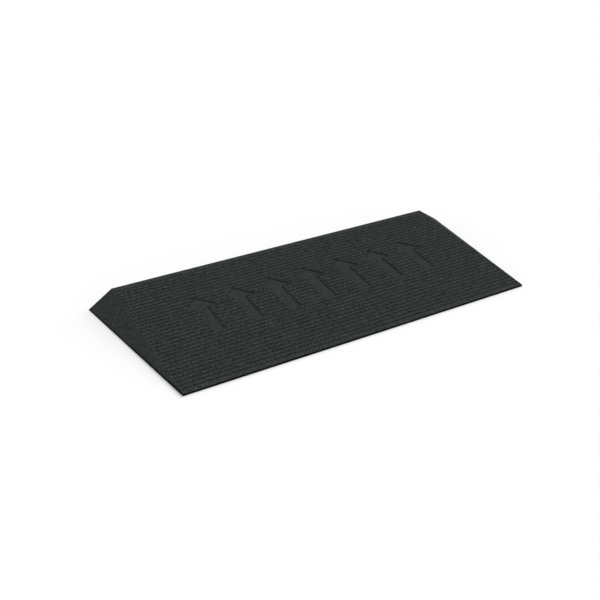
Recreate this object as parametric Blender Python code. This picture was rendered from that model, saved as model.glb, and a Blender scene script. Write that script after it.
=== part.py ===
"""Moulded rubber threshold ramp: a ribbed tread on a wedge, with a bevel on each side.

Frame: metres. +Z is up, +Y points from the low front edge to the high back edge, and
+X is to the right for someone about to roll up the ramp. The origin is on the ground,
at the middle of the footprint's bounding box.
"""
import math

import bmesh
import bpy

# Outline of the ramp
TREAD_WIDTH = 0.9144  # width of the ribbed top, from crease to crease
BACK_WIDTH = 1.036  # width of the footprint along the back edge
DEPTH = 0.428  # from the front edge to the back face
HEIGHT = 0.042  # height of the back edge
FRONT_LIP = 0.005  # height of the blunt front edge
SIDE_LIP = 0.0015  # height of a bevel's blunt outer edge at the back

# Bonded layers
GAP = 0.0003  # clearance left between neighbouring solids
TREAD_THICKNESS = 0.009
CORE_TOE = 0.002  # height of the core's blunt front end

# Ribs and the grooves between them
RIB_PITCH = 0.0127
GROOVE_COUNT = 32
GROOVE_MARGIN = 0.016  # from the front edge to the middle of the first groove
GROOVE_DEPTH = 0.0017
GROOVE_WIDTH = 0.0070  # at the top of the ribs
GROOVE_FLOOR = 0.0022  # width of the flat floor

# Row of recessed arrows, each from the middle of one groove to the middle of another
ARROW_COUNT = 7
ARROW_FIRST_GROOVE = 12
ARROW_LAST_GROOVE = 23
ARROW_SPACING = 0.099
ARROW_WIDTH = 0.080  # from barb to barb
ARROW_STEM = 0.030
ARROW_HEAD = 0.046  # from the tip down to the barbs
ARROW_DEPTH = 0.0030

# Drainage channels under the core
CHANNEL_COUNT = 8
CHANNEL_SPACING = 0.1
CHANNEL_WIDTH = 0.016
CHANNEL_DEPTH = 0.0035
CHANNEL_FRONT = 0.175  # from the front edge to the closed end of a channel
ARC_STEPS = 10  # segments in a quarter circle

FRONT = -DEPTH / 2
BACK = DEPTH / 2
SLOPE = (HEIGHT - FRONT_LIP) / DEPTH

TREAD_COLOUR = (0.0420, 0.0491, 0.0456)
BEVEL_COLOUR = (0.0385, 0.0449, 0.0434)
CORE_COLOUR = (0.0175, 0.0193, 0.0184)


def top_height(y):
    """Height of the sloping top above the ground."""
    return FRONT_LIP + SLOPE * (y - FRONT)


def groove_middle(index):
    """Y of the middle of a groove, counted from the front."""
    return FRONT + GROOVE_MARGIN + index * RIB_PITCH


def clear_scene():
    for item in list(bpy.data.objects):
        bpy.data.objects.remove(item, do_unlink=True)


def rubber(name, colour, roughness):
    material = bpy.data.materials.new(name)
    material.use_nodes = True
    shader = material.node_tree.nodes["Principled BSDF"]
    shader.inputs["Base Color"].default_value = (*colour, 1.0)
    shader.inputs["Roughness"].default_value = roughness
    shader.inputs["Metallic"].default_value = 0.0
    return material


def new_object(name, mesh_data, material=None):
    """Turn a bmesh into a named object with its faces pointing out."""
    bmesh.ops.recalc_face_normals(mesh_data, faces=mesh_data.faces)
    mesh = bpy.data.meshes.new(name)
    mesh_data.to_mesh(mesh)
    mesh_data.free()
    piece = bpy.data.objects.new(name, mesh)
    bpy.context.scene.collection.objects.link(piece)
    if material:
        mesh.materials.append(material)
    return piece


def add_prism(mesh_data, bottom, top):
    """Close two matching rings of points into a prism."""
    low = [mesh_data.verts.new(point) for point in bottom]
    high = [mesh_data.verts.new(point) for point in top]
    mesh_data.faces.new(low)
    mesh_data.faces.new(high)
    for i in range(len(low)):
        j = (i + 1) % len(low)
        mesh_data.faces.new((low[i], low[j], high[j], high[i]))


def extruded_across(name, profile, half_width, material):
    """Sweep a side profile of (y, z) points across the ramp."""
    mesh_data = bmesh.new()
    left = [(-half_width, y, z) for y, z in profile]
    right = [(half_width, y, z) for y, z in profile]
    add_prism(mesh_data, left, right)
    return new_object(name, mesh_data, material)


def subtract(piece, cutter):
    """Cut one object out of another and keep the cutter as a hidden guide."""
    cutter.display_type = "WIRE"
    cutter.hide_render = True
    cut = piece.modifiers.new(cutter.name, "BOOLEAN")
    cut.operation = "DIFFERENCE"
    cut.solver = "EXACT"
    cut.object = cutter


def arc(centre, radius, start, end):
    """Points along an arc, with its angles in quarter turns."""
    steps = ARC_STEPS * abs(end - start)
    points = []
    for i in range(steps + 1):
        angle = math.radians(90 * (start + (end - start) * i / steps))
        x = centre[0] + radius * math.cos(angle)
        y = centre[1] + radius * math.sin(angle)
        points.append((x, y))
    return points


def arrow_outline(middle_x):
    """Plan of an arrow that points up the slope: its tip, its right side, its left."""
    base = groove_middle(ARROW_FIRST_GROOVE)
    tip = groove_middle(ARROW_LAST_GROOVE)
    half = ARROW_WIDTH / 2
    stem = ARROW_STEM / 2
    neck = tip - ARROW_HEAD
    right = [(half, neck), (stem, neck), (stem, base)]
    left = [(-x, y) for x, y in reversed(right)]
    return [(middle_x + x, y) for x, y in [(0, tip)] + right + left]


def arrows_cutter():
    """A row of arrows across the ramp, with floors parallel to the top."""
    mesh_data = bmesh.new()
    for index in range(ARROW_COUNT):
        outline = arrow_outline((index - (ARROW_COUNT - 1) / 2) * ARROW_SPACING)
        bottom = [(x, y, top_height(y) - ARROW_DEPTH) for x, y in outline]
        top = [(x, y, top_height(y) + ARROW_DEPTH) for x, y in outline]
        add_prism(mesh_data, bottom, top)
    return new_object("arrows_cutter", mesh_data)


def tread_profile():
    """Side profile of the tread: ribbed above, stepped round the core below."""
    core_front = core_front_edge()
    step = core_front - GAP
    under = TREAD_THICKNESS
    profile = [(FRONT, 0), (step, 0), (step, top_height(step) - under)]
    profile += [(BACK, top_height(BACK) - under), (BACK, top_height(BACK))]
    for index in reversed(range(GROOVE_COUNT)):
        middle = groove_middle(index)
        for offset, depth in ((GROOVE_WIDTH / 2, 0), (GROOVE_FLOOR / 2, GROOVE_DEPTH),
                              (-GROOVE_FLOOR / 2, GROOVE_DEPTH), (-GROOVE_WIDTH / 2, 0)):
            y = middle + offset
            profile.append((y, top_height(y) - depth))
    profile.append((FRONT, top_height(FRONT)))
    return profile


def core_front_edge():
    """Y where the core under the tread is as thin as its blunt front end."""
    return FRONT + (CORE_TOE + TREAD_THICKNESS + GAP - FRONT_LIP) / SLOPE


def make_tread(material):
    tread = extruded_across("tread_layer", tread_profile(), TREAD_WIDTH / 2, material)
    subtract(tread, arrows_cutter())


def channel_cutter():
    """Round-ended drainage channels, side by side and open at the back."""
    mesh_data = bmesh.new()
    radius = CHANNEL_WIDTH / 2
    overshoot = 0.01
    for index in range(CHANNEL_COUNT):
        x = (index - (CHANNEL_COUNT - 1) / 2) * CHANNEL_SPACING
        front_end = arc((x, FRONT + CHANNEL_FRONT + radius), radius, 2, 4)
        outline = [(x - radius, BACK + overshoot)] + front_end + [(x + radius, BACK + overshoot)]
        bottom = [(px, py, -overshoot) for px, py in outline]
        top = [(px, py, CHANNEL_DEPTH) for px, py in outline]
        add_prism(mesh_data, bottom, top)
    return new_object("channel_cutter", mesh_data)


def make_core(material):
    core_front = core_front_edge()
    under = TREAD_THICKNESS + GAP
    profile = [(core_front, 0), (BACK, 0), (BACK, top_height(BACK) - under)]
    profile.append((core_front, top_height(core_front) - under))
    core = extruded_across("base_core", profile, TREAD_WIDTH / 2, material)
    subtract(core, channel_cutter())


def make_side_bevel(name, side, material):
    """A wedge that runs from nothing at the front corner to full width at the back."""
    inner = side * (TREAD_WIDTH / 2 + GAP)
    outer = side * BACK_WIDTH / 2
    mesh_data = bmesh.new()
    tip_low = mesh_data.verts.new((inner, FRONT, 0))
    tip_high = mesh_data.verts.new((inner, FRONT, FRONT_LIP))
    inner_low = mesh_data.verts.new((inner, BACK, 0))
    inner_high = mesh_data.verts.new((inner, BACK, HEIGHT))
    outer_low = mesh_data.verts.new((outer, BACK, 0))
    outer_high = mesh_data.verts.new((outer, BACK, SIDE_LIP))
    mesh_data.faces.new((tip_low, tip_high, inner_high, inner_low))
    mesh_data.faces.new((tip_low, inner_low, outer_low))
    mesh_data.faces.new((tip_high, outer_high, inner_high))
    mesh_data.faces.new((tip_low, outer_low, outer_high, tip_high))
    mesh_data.faces.new((inner_low, inner_high, outer_high, outer_low))
    new_object(name, mesh_data, material)


clear_scene()
make_core(rubber("coarse_crumb", CORE_COLOUR, 0.95))
make_tread(rubber("fine_crumb", TREAD_COLOUR, 0.85))
bevel_rubber = rubber("smooth_crumb", BEVEL_COLOUR, 0.88)
make_side_bevel("left_side_bevel", -1, bevel_rubber)
make_side_bevel("right_side_bevel", 1, bevel_rubber)
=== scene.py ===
"""Looks of the rubber threshold ramp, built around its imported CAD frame.

Each bonded layer is a closed mesh of its own: the ribbed tread with its recessed
arrows, the two side bevels and the coarse core with its drainage channels. Lengths
are metres, and places come from the frame's own boxes.
"""
import math

import bpy
import numpy as np
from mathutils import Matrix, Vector, noise
from mathutils.geometry import delaunay_2d_cdt


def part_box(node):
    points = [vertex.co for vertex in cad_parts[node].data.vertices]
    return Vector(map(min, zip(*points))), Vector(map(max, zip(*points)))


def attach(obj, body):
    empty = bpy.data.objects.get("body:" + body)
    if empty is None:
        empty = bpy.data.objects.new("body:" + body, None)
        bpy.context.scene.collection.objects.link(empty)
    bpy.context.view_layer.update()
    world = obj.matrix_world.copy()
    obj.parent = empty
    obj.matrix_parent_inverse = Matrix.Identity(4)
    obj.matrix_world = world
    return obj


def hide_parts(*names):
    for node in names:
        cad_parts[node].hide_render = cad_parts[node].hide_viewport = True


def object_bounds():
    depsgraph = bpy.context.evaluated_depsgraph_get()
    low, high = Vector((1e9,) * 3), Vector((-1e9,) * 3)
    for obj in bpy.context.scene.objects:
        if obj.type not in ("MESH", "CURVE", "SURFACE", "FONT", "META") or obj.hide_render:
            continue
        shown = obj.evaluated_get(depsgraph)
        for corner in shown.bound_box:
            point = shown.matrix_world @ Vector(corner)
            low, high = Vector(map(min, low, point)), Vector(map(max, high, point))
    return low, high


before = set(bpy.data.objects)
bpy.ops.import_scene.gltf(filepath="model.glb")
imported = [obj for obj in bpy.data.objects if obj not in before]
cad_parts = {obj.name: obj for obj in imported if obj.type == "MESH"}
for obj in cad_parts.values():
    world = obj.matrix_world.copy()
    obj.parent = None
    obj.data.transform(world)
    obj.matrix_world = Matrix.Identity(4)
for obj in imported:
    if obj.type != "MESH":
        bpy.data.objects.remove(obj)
cad_low, cad_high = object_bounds()
tread_low, tread_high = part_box("tread_layer")
core_low, core_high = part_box("base_core")

# Places that the frame gives
FRONT = tread_low.y
BACK = tread_high.y
DEPTH = BACK - FRONT
HEIGHT = tread_high.z
TREAD_HALF = tread_high.x
BACK_HALF = cad_high.x
CORE_FRONT = core_low.y
CORE_HEIGHT = core_high.z

# Sizes of the design
FRONT_LIP = 0.005
SIDE_LIP = 0.0015
TREAD_THICKNESS = 0.009
SLOPE = (HEIGHT - FRONT_LIP) / DEPTH
BEVEL_SLOPE = (HEIGHT - SIDE_LIP) / (BACK_HALF - TREAD_HALF)
JOINT = 0.00004  # hairline between bonded layers; the core's back edge keeps the CAD's gap

# Ribs
RIB_PITCH = 0.0127
GROOVE_COUNT = 32
FIRST_GROOVE = FRONT + 0.016
GROOVE_DEPTH = 0.0017
GROOVE_SHARPNESS = 2.0  # a higher power makes a narrower groove and a fuller rib
GROOVE_WANDER = 0.0004  # how far a groove strays from its straight line
WANDER_LENGTH = 0.02
GROOVE_END = 0.0004  # a groove has run out this far from the crease
GROOVE_FADE = 0.0016

# Recessed arrows
ARROW_COUNT = 7
ARROW_BASE = FIRST_GROOVE + 12 * RIB_PITCH
ARROW_TIP = FIRST_GROOVE + 23 * RIB_PITCH
ARROW_SPACING = 0.099
ARROW_WIDTH = 0.080
ARROW_STEM = 0.030
ARROW_HEAD = 0.046
ARROW_DEPTH = 0.0030
WALL_OUTSIDE = 0.0008  # how far a recess wall's round shoulder reaches out
WALL_INSIDE = 0.0010

# Rounded edges
FRONT_RADIUS = 0.0010
BACK_RADIUS = 0.0008
OUTER_RADIUS = 0.0005
CREASE_RADIUS = 0.0010
EDGE_SHADE_WIDTH = 0.0028  # band of painted shade along the outer edges
FRONT_EDGE_SHADE_WIDTH = 0.0009  # the same band behind the blunt front edge

# Thin parts of the side bevels
EDGE_SHARE = 0.4  # most of a narrow bevel's width that its outer edge may round off
OUTER_DROP = 0.8  # share of a full round that the outer edge drops
FULL_ROUND = 0.006  # a bevel lower than this has a less rounded back edge
FULL_WAVES = 0.004  # a bevel lower than this is less uneven
LEAST_WAVES = 0.1

# Unevenness of the moulding
WAVE_HEIGHT = 0.00015
WAVE_LENGTH = 0.045
GRAIN_HEIGHT = 0.00012
GRAIN_LENGTH = 0.007

# Underside and back of the core
CHANNEL_COUNT = 8
CHANNEL_SPACING = 0.1
CHANNEL_RADIUS = 0.008
CHANNEL_DEPTH = 0.0035
CHANNEL_END = FRONT + 0.175 + CHANNEL_RADIUS  # centre of a channel's round end
CHANNEL_WALL = 0.002  # width of the rounded wall of a channel
CRUMB_HEIGHT = 0.0007
CRUMB_LENGTH = 0.006
DENT_DEPTH = 0.0005
DENT_LENGTH = 0.005
DENT_SLICE = 0.5  # where the noise of the dents is cut

# Spacing of the meshes
PLAIN_STEP = 0.003  # between rows where nothing but the slope runs
COLUMN_STEP = 0.005
CORE_STEP = 0.005
EDGE_STEPS = 6  # rows round an edge
ARC_STEPS = 14  # segments in a quarter circle
BACK_LEVELS = 9  # rows up the core's back face
GROOVE_TURNS = (0, 0.06, 0.13, 0.20, 0.29, 0.39, 0.5)  # rows from groove to crest, in pitches
CREASE_INSETS = (0, 0.0003, 0.0006, 0.0010, 0.0015, 0.0020, 0.0030, 0.0050)  # columns
PLAIN_INSET = 0.008  # even columns start this far inside the crease
WALL_SHARES = (0, 0.18, 0.36, 0.5, 0.64, 0.82, 1)  # rings down a recess wall
CHANNEL_OFFSETS = (-0.001, -0.0003, 0.0003, 0.001)  # rings along a channel's wall

MM = 0.001  # the flat triangulation works in millimetres
MERGE = 1e-4  # closer points become one, in millimetres
ON_LINE = 1e-7  # a point this close to a line lies on it
SHARP_ANGLE = 50  # in degrees


def smoothstep(t):
    t = np.clip(t, 0.0, 1.0)
    return t * t * (3.0 - 2.0 * t)


# ---------------------------------------------------------------- outlines


def arc(centre, radius, start, end):
    """Points along an arc, with its angles in quarter turns."""
    steps = ARC_STEPS * abs(end - start)
    points = []
    for i in range(steps + 1):
        angle = math.radians(90 * (start + (end - start) * i / steps))
        x = centre[0] + radius * math.cos(angle)
        y = centre[1] + radius * math.sin(angle)
        points.append((x, y))
    return points


def row_of(count, spacing):
    """X of each of a row of equal marks, centred across the ramp."""
    return [(i - (count - 1) / 2) * spacing for i in range(count)]


def arrow_outline(middle_x):
    """Plan of an arrow that points up the slope, anticlockwise from its tip."""
    half = ARROW_WIDTH / 2
    stem = ARROW_STEM / 2
    neck = ARROW_TIP - ARROW_HEAD
    right = [(stem, ARROW_BASE), (stem, neck), (half, neck)]
    left = [(-x, y) for x, y in reversed(right)]
    return np.array([(0, ARROW_TIP)] + left + right) + (middle_x, 0)


ARROWS = [arrow_outline(x) for x in row_of(ARROW_COUNT, ARROW_SPACING)]


def signed_distance(points, ring):
    """Distance to a closed outline, negative inside it."""
    nearest = np.full(len(points), np.inf)
    inside = np.zeros(len(points), bool)
    for a, b in zip(ring, np.roll(ring, -1, axis=0)):
        along = b - a
        t = np.clip(((points - a) @ along) / (along @ along), 0.0, 1.0)
        gap = points - (a + t[:, None] * along)
        nearest = np.minimum(nearest, np.hypot(gap[:, 0], gap[:, 1]))
        spans = (a[1] > points[:, 1]) != (b[1] > points[:, 1])
        rise = along[1] if along[1] else 1.0
        cross_x = a[0] + (points[:, 1] - a[1]) * along[0] / rise
        inside ^= spans & (points[:, 0] < cross_x)
    return np.where(inside, -nearest, nearest)


def offset_ring(ring, distance):
    """The ring moved outwards by a distance, with mitred corners."""
    before = ring - np.roll(ring, 1, axis=0)
    after = np.roll(ring, -1, axis=0) - ring
    before /= np.linalg.norm(before, axis=1)[:, None]
    after /= np.linalg.norm(after, axis=1)[:, None]
    normal_before = np.c_[before[:, 1], -before[:, 0]]
    normal_after = np.c_[after[:, 1], -after[:, 0]]
    bisector = normal_before + normal_after
    bisector /= (bisector * normal_after).sum(1)[:, None]
    return ring + distance * bisector


# ---------------------------------------------------------------- relief


def waves(points, length, seed):
    """Smooth noise between about -1 and 1 at points of the plan."""
    shift = Vector((seed * 7.3, seed * 3.1, seed * 1.7))
    return np.array([noise.noise(Vector((x, y, 0)) / length + shift) for x, y in points])


def unevenness(points):
    """How far the moulded top dips below its true shape at points of its plan."""
    broad = WAVE_HEIGHT * waves(points, WAVE_LENGTH, seed=1)
    fine = GRAIN_HEIGHT * waves(points, GRAIN_LENGTH, seed=2)
    return np.abs(broad + fine)


def groove(points):
    """0 on a rib's crest and 1 in the middle of a groove."""
    x, y = points[:, 0], points[:, 1]
    strayed = y + GROOVE_WANDER * waves(points, WANDER_LENGTH, seed=3)
    index = np.clip(np.round((strayed - FIRST_GROOVE) / RIB_PITCH), 0, GROOVE_COUNT - 1)
    turn = np.clip((strayed - FIRST_GROOVE) / RIB_PITCH - index, -0.5, 0.5)
    shape = (0.5 + 0.5 * np.cos(2 * math.pi * turn)) ** GROOVE_SHARPNESS
    return shape * smoothstep((TREAD_HALF - GROOVE_END - np.abs(x)) / GROOVE_FADE)


def recess(points):
    """0 outside the arrows and 1 on their floors."""
    depth = np.zeros(len(points))
    for ring in ARROWS:
        low, high = ring.min(0) - WALL_OUTSIDE, ring.max(0) + WALL_OUTSIDE
        near = ((points >= low) & (points <= high)).all(1)
        away = signed_distance(points[near], ring)
        wall = (WALL_OUTSIDE - away) / (WALL_OUTSIDE + WALL_INSIDE)
        depth[near] = np.maximum(depth[near], smoothstep(wall))
    return depth


def rounded_edge(distance, radius):
    """How far a rounded edge drops at a distance from the face beside it."""
    inner = radius - np.clip(distance, 0.0, radius)
    return radius - np.sqrt(np.maximum(radius * radius - inner * inner, 0.0))


def crease_drop(across):
    """Drop of the surface across a crease, from inside (negative) to the bevel."""
    angle = math.atan(BEVEL_SLOPE)
    tangent = CREASE_RADIUS * math.tan(angle / 2)
    end = CREASE_RADIUS * math.sin(angle) - tangent
    turn = np.clip(across + tangent, 0.0, end + tangent)
    on_arc = CREASE_RADIUS - np.sqrt(CREASE_RADIUS ** 2 - turn ** 2)
    return np.where(across > end, BEVEL_SLOPE * across, on_arc)


def edge_shade(distance, width=EDGE_SHADE_WIDTH):
    """1 on the moulding's outer edges, fading to 0 inwards: the mask of painted shade along them.
    """
    return smoothstep(1 - distance / width)


def plane_height(y):
    return FRONT_LIP + SLOPE * (y - FRONT)


def tread_height(points):
    """Height of the tread's top at points of its plan, without the unevenness."""
    x, y = points[:, 0], points[:, 1]
    relief = np.maximum(GROOVE_DEPTH * groove(points), ARROW_DEPTH * recess(points))
    edges = rounded_edge(y - FRONT, FRONT_RADIUS) + rounded_edge(BACK - y, BACK_RADIUS)
    return plane_height(y) - relief - edges - crease_drop(np.abs(x) - TREAD_HALF)


# ---------------------------------------------------------------- meshes


class Points(list):
    """The points of a mesh under way. Adding one gives its index."""

    def add(self, x, y, z):
        self.append((x, y, z))
        return len(self) - 1


def edge_steps(radius):
    """Distances from a face that follow its rounded edge."""
    turns = [math.pi / 2 * i / EDGE_STEPS for i in range(EDGE_STEPS + 1)]
    return [radius * (1 - math.cos(turn)) for turn in turns]


def spread(low, high, step):
    """Evenly spaced values from low to high, both included."""
    count = max(1, round((high - low) / step))
    return [low + (high - low) * i / count for i in range(count + 1)]


def triangulate(columns, rows, rings):
    """Triangulate the rectangle crossed by column, row and ring lines."""
    left, right = min(columns), max(columns)
    front, back = min(rows), max(rows)
    points, edges = [], []

    def add_line(line, closed=False):
        first = len(points)
        points.extend(Vector((p[0] / MM, p[1] / MM)) for p in line)
        edges.extend((first + i, first + i + 1) for i in range(len(line) - 1))
        if closed:
            edges.append((len(points) - 1, first))

    for x in columns:
        add_line([(x, front), (x, back)])
    for y in rows:
        add_line([(left, y), (right, y)])
    for ring in rings:
        add_line(ring, closed=True)
    flat, _, faces, _, _, _ = delaunay_2d_cdt(points, edges, [], 0, MERGE)
    plan = np.array([(p.x, p.y) for p in flat]) * MM
    plan[:, 0] = np.clip(plan[:, 0], left, right)
    plan[:, 1] = np.clip(plan[:, 1], front, back)
    triangles = []
    for a, b, c in faces:
        turn = np.cross(plan[b] - plan[a], plan[c] - plan[a])
        triangles.append((a, b, c) if turn > 0 else (a, c, b))
    return plan, triangles


def border(plan, axis, value, order):
    """Indices of the plan's points on one side, sorted along it."""
    found = np.nonzero(np.abs(plan[:, axis] - value) < ON_LINE)[0]
    return list(found[np.argsort(order * plan[found, 1 - axis])])


def new_piece(name, points, faces, material):
    mesh = bpy.data.meshes.new(name)
    mesh.from_pydata([tuple(p) for p in points], [], faces)
    mesh.materials.append(material)
    mesh.validate()
    piece = bpy.data.objects.new(name, mesh)
    bpy.context.scene.collection.objects.link(piece)
    mesh.shade_smooth()
    mesh.set_sharp_from_angle(angle=math.radians(SHARP_ANGLE))
    return piece


def store(piece, name, values, rest=0.0):
    """Keep a number for each point, for the material: these, then rest for the others."""
    others = [rest] * (len(piece.data.vertices) - len(values))
    layer = piece.data.attributes.new(name, "FLOAT", "POINT")
    layer.data.foreach_set("value", np.array(list(values) + others, np.float32))


# ---------------------------------------------------------------- tread


def tread_rows():
    rows = [FRONT + step for step in edge_steps(FRONT_RADIUS)]
    rows += [BACK - step for step in edge_steps(BACK_RADIUS)]
    for index in range(GROOVE_COUNT):
        middle = FIRST_GROOVE + index * RIB_PITCH
        rows += [middle + turn * RIB_PITCH for turn in GROOVE_TURNS]
        rows += [middle - turn * RIB_PITCH for turn in GROOVE_TURNS[1:-1]]
    rows.append(FIRST_GROOVE - RIB_PITCH / 2)
    last_crest = FIRST_GROOVE + (GROOVE_COUNT - 0.5) * RIB_PITCH
    rows += spread(last_crest, BACK - BACK_RADIUS, PLAIN_STEP)[1:-1]
    return sorted(set(rows))


def tread_columns():
    columns = spread(-TREAD_HALF + PLAIN_INSET, TREAD_HALF - PLAIN_INSET, COLUMN_STEP)
    for inset in CREASE_INSETS:
        columns += [-TREAD_HALF + inset, TREAD_HALF - inset]
    return sorted(set(columns))


def wall_rings():
    """Rings along every arrow that follow the curve of its recess wall."""
    width = WALL_OUTSIDE + WALL_INSIDE
    return [offset_ring(ring, WALL_OUTSIDE - share * width)
            for ring in ARROWS for share in WALL_SHARES]


def make_tread(material):
    """The ribbed top, with plain bonded faces below and at the sides."""
    plan, faces = triangulate(tread_columns(), tread_rows(), wall_rings())
    height = tread_height(plan) - unevenness(plan)
    points = Points((x, y, z) for (x, y), z in zip(plan, height))
    step = CORE_FRONT - JOINT
    left, right = [
        [
            points.add(x, FRONT, 0),
            points.add(x, step, 0),
            points.add(x, step, plane_height(step) - TREAD_THICKNESS),
            points.add(x, BACK, HEIGHT - TREAD_THICKNESS),
        ]
        for x in (-TREAD_HALF, TREAD_HALF)
    ]
    faces.append([left[0], right[0]] + border(plan, 1, FRONT, -1))
    faces.append([right[3], left[3]] + border(plan, 1, BACK, 1))
    faces.append(right + border(plan, 0, TREAD_HALF, -1))
    faces.append(left[::-1] + border(plan, 0, -TREAD_HALF, 1))
    for i in range(3):
        faces.append([left[i], left[i + 1], right[i + 1], right[i]])
    piece = new_piece("ribbed_tread", points, faces, material)
    sunk = recess(plan)
    # the groove mask carries painted shade in the grooves into the material
    store(piece, "groove", groove(plan) * (1 - sunk))
    # the recess mask also carries painted shade in the arrows into the material
    store(piece, "recess", sunk)
    # painted shade along the front and back edges, and over all the tread's other faces, the front
    # face among them
    edge = np.maximum(edge_shade(plan[:, 1] - FRONT, FRONT_EDGE_SHADE_WIDTH), edge_shade(BACK - plan[:, 1]))
    store(piece, "edge_shade", edge, rest=1.0)
    return piece


# ---------------------------------------------------------------- side bevels


def bevel_shares():
    """Places across a bevel, from the crease to the outer edge, in shares of its width."""
    by_crease = [0, 0.004, 0.008, 0.012, 0.018, 0.03]
    by_edge = [0.98, 0.985, 0.99, 0.994, 0.998, 1.0]
    return by_crease + spread(0.06, 0.97, 0.045) + by_edge


def bevel_top(rows, shares, inner_x, reach):
    """Points of the right bevel's top, row by row, from the crease outwards."""
    y = np.repeat(rows, len(shares))
    width = reach * (y - FRONT) / DEPTH
    across = np.tile(shares, len(rows)) * width
    height = plane_height(y) - crease_drop(across)
    outer_radius = np.minimum(OUTER_RADIUS, EDGE_SHARE * width)
    height -= OUTER_DROP * rounded_edge(width - across, outer_radius)
    height -= np.minimum(1.0, height / FULL_ROUND) * rounded_edge(BACK - y, BACK_RADIUS)
    uneven = np.clip(height / FULL_WAVES, LEAST_WAVES, 1.0)
    uneven[::len(shares)] = 1.0  # along the right crease it is the tread's own
    plan = np.c_[inner_x + across, y]
    return np.c_[plan, height - uneven * unevenness(plan)]


def make_bevel(name, side, material):
    """A wedge from nothing at the front corner to its full width at the back."""
    inner_x = TREAD_HALF + JOINT
    reach = BACK_HALF - inner_x
    lengthwise = edge_steps(BACK_RADIUS) + spread(BACK_RADIUS, DEPTH, PLAIN_STEP)[1:-1]
    shares = bevel_shares()
    across, along = len(shares), len(lengthwise)
    top = bevel_top([BACK - step for step in lengthwise], shares, inner_x, reach)
    points = Points(tuple(p) for p in top)
    tip_high = points.add(inner_x, FRONT, FRONT_LIP - FRONT_RADIUS * 0.5)
    tip_low = points.add(inner_x, FRONT, 0)
    inner_low = points.add(inner_x, BACK, 0)
    outer_low = points.add(BACK_HALF, BACK, 0)

    grid = np.arange(along * across).reshape(along, across).tolist()
    faces = [[line[i], after[i], after[i + 1], line[i + 1]]
             for line, after in zip(grid, grid[1:]) for i in range(across - 1)]
    faces += [[a, tip_high, b] for a, b in zip(grid[-1], grid[-1][1:])]
    faces.append([tip_high] + [line[0] for line in grid[::-1]] + [inner_low, tip_low])
    faces.append([line[-1] for line in grid] + [tip_high, tip_low, outer_low])
    faces.append(grid[0] + [outer_low, inner_low])
    faces.append([inner_low, outer_low, tip_low])
    if side < 0:  # the mirror image, unevenness included
        points = [(-x, y, z) for x, y, z in points]
        faces = [face[::-1] for face in faces]
    piece = new_piece(name, points, faces, material)
    x, y = np.abs(np.array(points)[:, 0]), np.array(points)[:, 1]
    inside = np.minimum(reach * (y - FRONT) / DEPTH - (x - inner_x), BACK - y)
    # painted shade along the bevel's outer and back edges
    store(piece, "edge_shade", edge_shade(inside))
    return piece


# ---------------------------------------------------------------- core


def channel_rings(offset):
    """The outline of every channel, moved outwards by an offset."""
    radius = CHANNEL_RADIUS + offset
    rings = []
    for x in row_of(CHANNEL_COUNT, CHANNEL_SPACING):
        end = arc((x, CHANNEL_END), radius, 2, 4)
        rings.append([(x - radius, BACK)] + end + [(x + radius, BACK)])
    return rings


def channel_depth(plan):
    """How far the channels rise into the underside, and 0 between them."""
    centre = (np.floor(plan[:, 0] / CHANNEL_SPACING) + 0.5) * CHANNEL_SPACING
    limit = CHANNEL_SPACING * (CHANNEL_COUNT - 1) / 2
    centre = np.clip(centre, -limit, limit)
    ahead = np.minimum(plan[:, 1] - CHANNEL_END, 0.0)
    away = np.hypot(plan[:, 0] - centre, ahead) - CHANNEL_RADIUS
    return CHANNEL_DEPTH * smoothstep(0.5 - away / CHANNEL_WALL)


def make_core(material):
    """The coarse wedge: uneven below, with channels, and behind. Its bonded faces are plain."""
    columns = spread(-TREAD_HALF, TREAD_HALF, CORE_STEP)
    rows = spread(CORE_FRONT, BACK, CORE_STEP)
    rings = [ring for offset in CHANNEL_OFFSETS for ring in channel_rings(offset)]
    plan, faces = triangulate(columns, rows, rings)
    faces = [face[::-1] for face in faces]
    channels = channel_depth(plan)
    height = channels + CRUMB_HEIGHT * np.abs(waves(plan, CRUMB_LENGTH, seed=5))
    points = Points((x, y, z) for (x, y), z in zip(plan, height))

    grid = [border(plan, 1, BACK, 1)]
    for level in range(1, BACK_LEVELS + 1):
        share = level / BACK_LEVELS
        rough = 0.0 if level == BACK_LEVELS else DENT_DEPTH
        line = []
        for index in grid[0]:
            x, _, low = points[index]
            z = low + (CORE_HEIGHT - low) * share
            dent = abs(noise.noise(Vector((x, DENT_SLICE, z)) / DENT_LENGTH)) * rough
            line.append(points.add(x, BACK - dent, z))
        grid.append(line)
    for low, high in zip(grid, grid[1:]):
        for i in range(len(low) - 1):
            faces.append([low[i + 1], low[i], high[i], high[i + 1]])
    front_z = plane_height(CORE_FRONT) - TREAD_THICKNESS - JOINT
    front_left = points.add(-TREAD_HALF, CORE_FRONT, front_z)
    front_right = points.add(TREAD_HALF, CORE_FRONT, front_z)
    right_back = [line[-1] for line in grid[1:]]
    left_back = [line[0] for line in grid[1:]]
    faces.append(border(plan, 1, CORE_FRONT, 1) + [front_right, front_left])
    faces.append(border(plan, 0, TREAD_HALF, 1) + right_back + [front_right])
    faces.append([front_left] + left_back[::-1] + border(plan, 0, -TREAD_HALF, -1))
    faces.append([front_left, front_right] + grid[-1][::-1])
    piece = new_piece("crumb_core", points, faces, material)
    # the channels get the recesses' painted shade
    store(piece, "recess", channels / CHANNEL_DEPTH)
    return piece


# ---------------------------------------------------------------- materials


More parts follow.
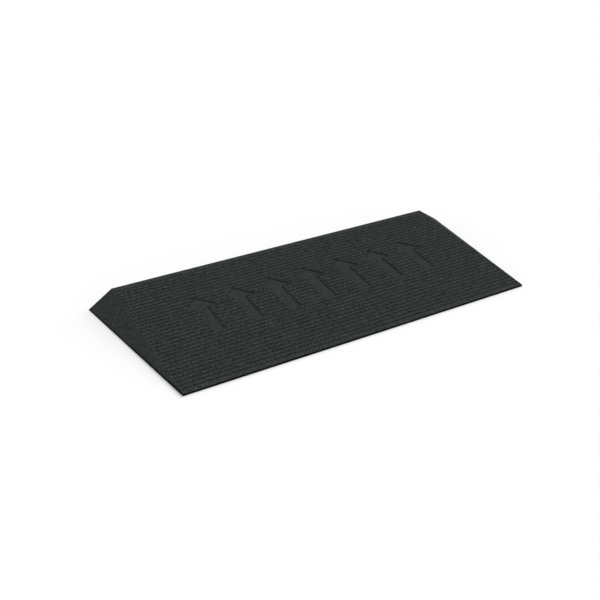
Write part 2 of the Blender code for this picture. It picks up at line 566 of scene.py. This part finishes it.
class Shader:
    """A short way to add and join the nodes of one material."""

    def __init__(self, name):
        self.material = bpy.data.materials.new(name)
        self.material.use_nodes = True
        self.tree = self.material.node_tree
        self.surface = self.tree.nodes["Principled BSDF"]
        self.place = self.add("ShaderNodeTexCoord").outputs["Object"]

    def add(self, kind, inputs=None, **settings):
        node = self.tree.nodes.new(kind)
        for key, value in settings.items():
            setattr(node, key, value)
        for key, value in (inputs or {}).items():
            self.feed(node.inputs[key], value)
        return node

    def feed(self, socket, value):
        if isinstance(value, bpy.types.NodeSocket):
            self.tree.links.new(value, socket)
        else:
            socket.default_value = value

    def noise(self, size, detail, roughness):
        inputs = {"Vector": self.place, "Scale": 1 / size,
                  "Detail": detail, "Roughness": roughness}
        return self.add("ShaderNodeTexNoise", inputs).outputs["Fac"]

    def cells(self, size, feature="F1"):
        inputs = {"Vector": self.place, "Scale": 1 / size, "Randomness": 1.0}
        return self.add("ShaderNodeTexVoronoi", inputs, feature=feature)

    def random(self, cells, channel):
        """A number of each cell's own, from one channel of its random colour."""
        split = self.add("ShaderNodeSeparateColor", {"Color": cells.outputs["Color"]})
        return split.outputs[channel]

    def remap(self, value, low, high, to_low, to_high):
        inputs = {"Value": value, "From Min": low, "From Max": high,
                  "To Min": to_low, "To Max": to_high}
        return self.add("ShaderNodeMapRange", inputs).outputs["Result"]

    def math(self, operation, a, b):
        node = self.add("ShaderNodeMath", {0: a, 1: b}, operation=operation)
        return node.outputs["Value"]

    def times(self, a, b):
        return self.math("MULTIPLY", a, b)

    def darken(self, light, mark, share):
        """The light less a share of it where the mark is 1."""
        return self.times(light, self.math("SUBTRACT", 1.0, self.times(mark, share)))

    def tint(self, colour, factor):
        """The colour times a number that changes over the surface."""
        return self.add("ShaderNodeVectorMath", {0: colour, "Scale": factor},
                        operation="SCALE").outputs["Vector"]

    def blend(self, a, b, factor):
        node = self.add("ShaderNodeMix", data_type="RGBA")
        self.feed(node.inputs["Factor"], factor)
        self.feed(node.inputs["A"], a)
        self.feed(node.inputs["B"], b)
        return node.outputs["Result"]

    def blend_number(self, a, b, factor):
        return self.add("ShaderNodeMix", {"Factor": factor, "A": a, "B": b}).outputs["Result"]

    def attribute(self, name):
        return self.add("ShaderNodeAttribute", attribute_name=name).outputs["Fac"]


def colour(red, green, blue):
    return (red, green, blue, 1.0)


TREAD_COLOUR = colour(0.0420, 0.0491, 0.0456)
# painted shade: the dark colour blended into the tread's grooves
GROOVE_SHADE_COLOUR = colour(0.0104, 0.0120, 0.0112)
# painted light: the bevel's colour is raised to make up for the weaker light on its slope
BEVEL_COLOUR = colour(0.0385, 0.0449, 0.0434)
CORE_COLOUR = colour(0.0175, 0.0193, 0.0184)
FLOOR_COLOUR = colour(0.92, 0.92, 0.92)

# Crumb rubber
FINE_GRANULE = 0.0016
COARSE_GRANULE = 0.0045
SMALL_SHARE = 0.45  # size of the smaller granules between the others
SKIN_GRAIN = 0.0007
MOTTLE_SIZE = 0.03
MOTTLE = 0.06  # how much lighter or darker a patch of the surface is
SEAM_WIDTH = 0.12
SEAM_LIGHT = 0.60  # light left in the seams between granules
RECESS_SHADE_TONE = 0.75  # mean tone of a recess floor, which is moulded smoother and darkened with painted shade
RECESS_CALM = 0.4  # how far its granules blend into that mean
# share of the painted groove shade at the middle of a groove
GROOVE_SHADE = 0.60
WALL_SHADE = 1.8  # painted shade on the recess walls: halfway down a wall a quarter of this is taken from the light
# share of the light taken by the painted shade along the edges
EDGE_SHADE_SHARE = 0.85
GRANULE_REACH = 0.8  # a granule's bulge ends this far from its middle
BULGE_RISE = 0.6
STEP_RISE = 0.5  # how far whole granules lie above or below each other
SKIN_RISE = 0.4
BUMP_STRENGTH = 0.8
SMOOTHEST = 0.80
ROUGHEST = 0.98
SHEEN = 0.01


def crumb_rubber(name, base, granule, contrast, relief):
    """Bonded rubber granules: each of its own grey, with dark seams and a rough skin, and painted
    shade in recesses, on their walls and along the outer edges.
    """
    shader = Shader(name)
    coarse = shader.cells(granule)
    small = shader.cells(granule * SMALL_SHARE)
    seams = shader.cells(granule, "DISTANCE_TO_EDGE").outputs["Distance"]
    skin = shader.noise(SKIN_GRAIN, detail=3.0, roughness=0.65)
    mottle = shader.noise(MOTTLE_SIZE, detail=4.0, roughness=0.6)

    half = contrast / 2
    light = shader.remap(shader.random(coarse, "Red"), 0.0, 1.0, 1.0 - contrast, 1.0 + contrast)
    spot = shader.remap(shader.random(small, "Red"), 0.0, 1.0, 1.0 - half, 1.0 + half)
    light = shader.times(light, spot)
    light = shader.times(light, shader.remap(mottle, 0.25, 0.75, 1.0 - MOTTLE, 1.0 + MOTTLE))
    light = shader.times(light, shader.remap(seams, 0.0, SEAM_WIDTH, SEAM_LIGHT, 1.0))
    # painted shade: recess floors and channels are darkened, and the recess walls more so
    sunk = shader.attribute("recess")
    light = shader.blend_number(light, RECESS_SHADE_TONE, shader.times(sunk, RECESS_CALM))
    wall = shader.times(sunk, shader.math("SUBTRACT", 1.0, sunk))
    light = shader.darken(light, wall, WALL_SHADE)
    # painted shade along the outer edges
    light = shader.darken(light, shader.attribute("edge_shade"), EDGE_SHADE_SHARE)

    bulge = shader.remap(coarse.outputs["Distance"], 0.0, GRANULE_REACH, 1.0, 0.0)
    step = shader.times(shader.random(coarse, "Green"), STEP_RISE)
    height = shader.math("ADD", shader.times(bulge, BULGE_RISE), step)
    height = shader.math("ADD", height, shader.times(skin, SKIN_RISE))
    bump = {"Height": height, "Strength": BUMP_STRENGTH, "Distance": relief}
    normal = shader.add("ShaderNodeBump", bump).outputs["Normal"]

    inputs = shader.surface.inputs
    shader.feed(inputs["Base Color"], shader.tint(base[:3], light))
    shader.feed(inputs["Roughness"], shader.remap(skin, 0.2, 0.8, SMOOTHEST, ROUGHEST))
    shader.feed(inputs["Normal"], normal)
    inputs["Specular IOR Level"].default_value = SHEEN
    return shader


def tread_rubber():
    """Fine crumb with painted shade that darkens its grooves against its crests."""
    shader = crumb_rubber("tread_rubber", TREAD_COLOUR, FINE_GRANULE, contrast=0.72, relief=0.0006)
    base = shader.surface.inputs["Base Color"]
    # painted shade in the grooves
    shade = shader.times(shader.attribute("groove"), GROOVE_SHADE)
    shader.feed(base, shader.blend(base.links[0].from_socket, GROOVE_SHADE_COLOUR, shade))
    return shader.material


# ---------------------------------------------------------------- stage

CAMERA_AZIMUTH = -29.92
CAMERA_ELEVATION = 30.22
CAMERA_DISTANCE = 2.003
CAMERA_TARGET = Vector((-0.0584, 0.0038, 0.0))
CAMERA_LENS = 49.40

OVERHEAD_LIGHT = 0.585
HORIZON_LIGHT = 1.05
HORIZON_TOP = 6  # the horizon's light fades into the overhead light between these angles
OVERHEAD_START = 14
FLOOR_HALF = 30
SUN_DISTANCE = 3


def from_angles(azimuth, elevation):
    """Unit vector towards a place seen at these angles from the origin."""
    a, e = math.radians(azimuth), math.radians(elevation)
    return Vector((math.sin(a) * math.cos(e), -math.cos(a) * math.cos(e), math.sin(e)))


def aim(item, target):
    item.rotation_euler = (target - item.location).to_track_quat("-Z", "Y").to_euler()


def make_camera():
    data = bpy.data.cameras.new("camera")
    data.lens = CAMERA_LENS
    camera = bpy.data.objects.new("camera", data)
    bpy.context.scene.collection.objects.link(camera)
    away = from_angles(CAMERA_AZIMUTH, CAMERA_ELEVATION)
    camera.location = CAMERA_TARGET + CAMERA_DISTANCE * away
    aim(camera, CAMERA_TARGET)
    bpy.context.scene.camera = camera


def make_sun(azimuth, elevation, strength, softness):
    """A large soft light from far off; softness is its width in degrees."""
    data = bpy.data.lights.new("softbox", "SUN")
    data.energy = strength
    data.angle = math.radians(softness)
    lamp = bpy.data.objects.new("softbox", data)
    bpy.context.scene.collection.objects.link(lamp)
    lamp.location = SUN_DISTANCE * from_angles(azimuth, elevation)
    aim(lamp, Vector((0, 0, 0)))


def make_floor():
    corners = [(-1, -1), (1, -1), (1, 1), (-1, 1)]
    mesh = bpy.data.meshes.new("floor")
    mesh.from_pydata([(x * FLOOR_HALF, y * FLOOR_HALF, 0) for x, y in corners],
                     [], [(0, 1, 2, 3)])
    floor = bpy.data.objects.new("floor", mesh)
    bpy.context.scene.collection.objects.link(floor)
    material = bpy.data.materials.new("pale_floor")
    material.use_nodes = True
    surface = material.node_tree.nodes["Principled BSDF"]
    surface.inputs["Base Color"].default_value = FLOOR_COLOUR
    surface.inputs["Roughness"].default_value = 0.9
    surface.inputs["Specular IOR Level"].default_value = 0.0
    mesh.materials.append(material)


def make_world():
    """A soft even light overhead and a white wall round the horizon."""
    world = bpy.data.worlds.new("studio")
    world.use_nodes = True
    nodes, links = world.node_tree.nodes, world.node_tree.links
    direction = nodes.new("ShaderNodeTexCoord")
    split = nodes.new("ShaderNodeSeparateXYZ")
    strength = nodes.new("ShaderNodeMapRange")
    strength.inputs["From Min"].default_value = math.sin(math.radians(HORIZON_TOP))
    strength.inputs["From Max"].default_value = math.sin(math.radians(OVERHEAD_START))
    strength.inputs["To Min"].default_value = HORIZON_LIGHT
    strength.inputs["To Max"].default_value = OVERHEAD_LIGHT
    background = nodes["Background"]
    background.inputs["Color"].default_value = colour(1, 1, 1)
    links.new(direction.outputs["Generated"], split.inputs["Vector"])
    links.new(split.outputs["Z"], strength.inputs["Value"])
    links.new(strength.outputs["Result"], background.inputs["Strength"])
    bpy.context.scene.world = world


def make_stage():
    bpy.context.scene.view_settings.view_transform = "Standard"
    make_camera()
    make_floor()
    make_world()
    make_sun(azimuth=110, elevation=35, strength=2.2, softness=45)
    make_sun(azimuth=-70, elevation=35, strength=0.5, softness=60)


# ---------------------------------------------------------------- assembly


def finish_piece(piece, node):
    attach(piece, "root")
    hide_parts(node)


finish_piece(make_tread(tread_rubber()), "tread_layer")
# the bevels' own copy of the rubber, its colour raised as painted light
smooth = crumb_rubber("bevel_rubber", BEVEL_COLOUR, FINE_GRANULE, contrast=0.57, relief=0.0004)
finish_piece(make_bevel("left_bevel", -1, smooth.material), "left_side_bevel")
finish_piece(make_bevel("right_bevel", 1, smooth.material), "right_side_bevel")
coarse = crumb_rubber("core_rubber", CORE_COLOUR, COARSE_GRANULE, contrast=0.55, relief=0.0012)
finish_piece(make_core(coarse.material), "base_core")
make_stage()
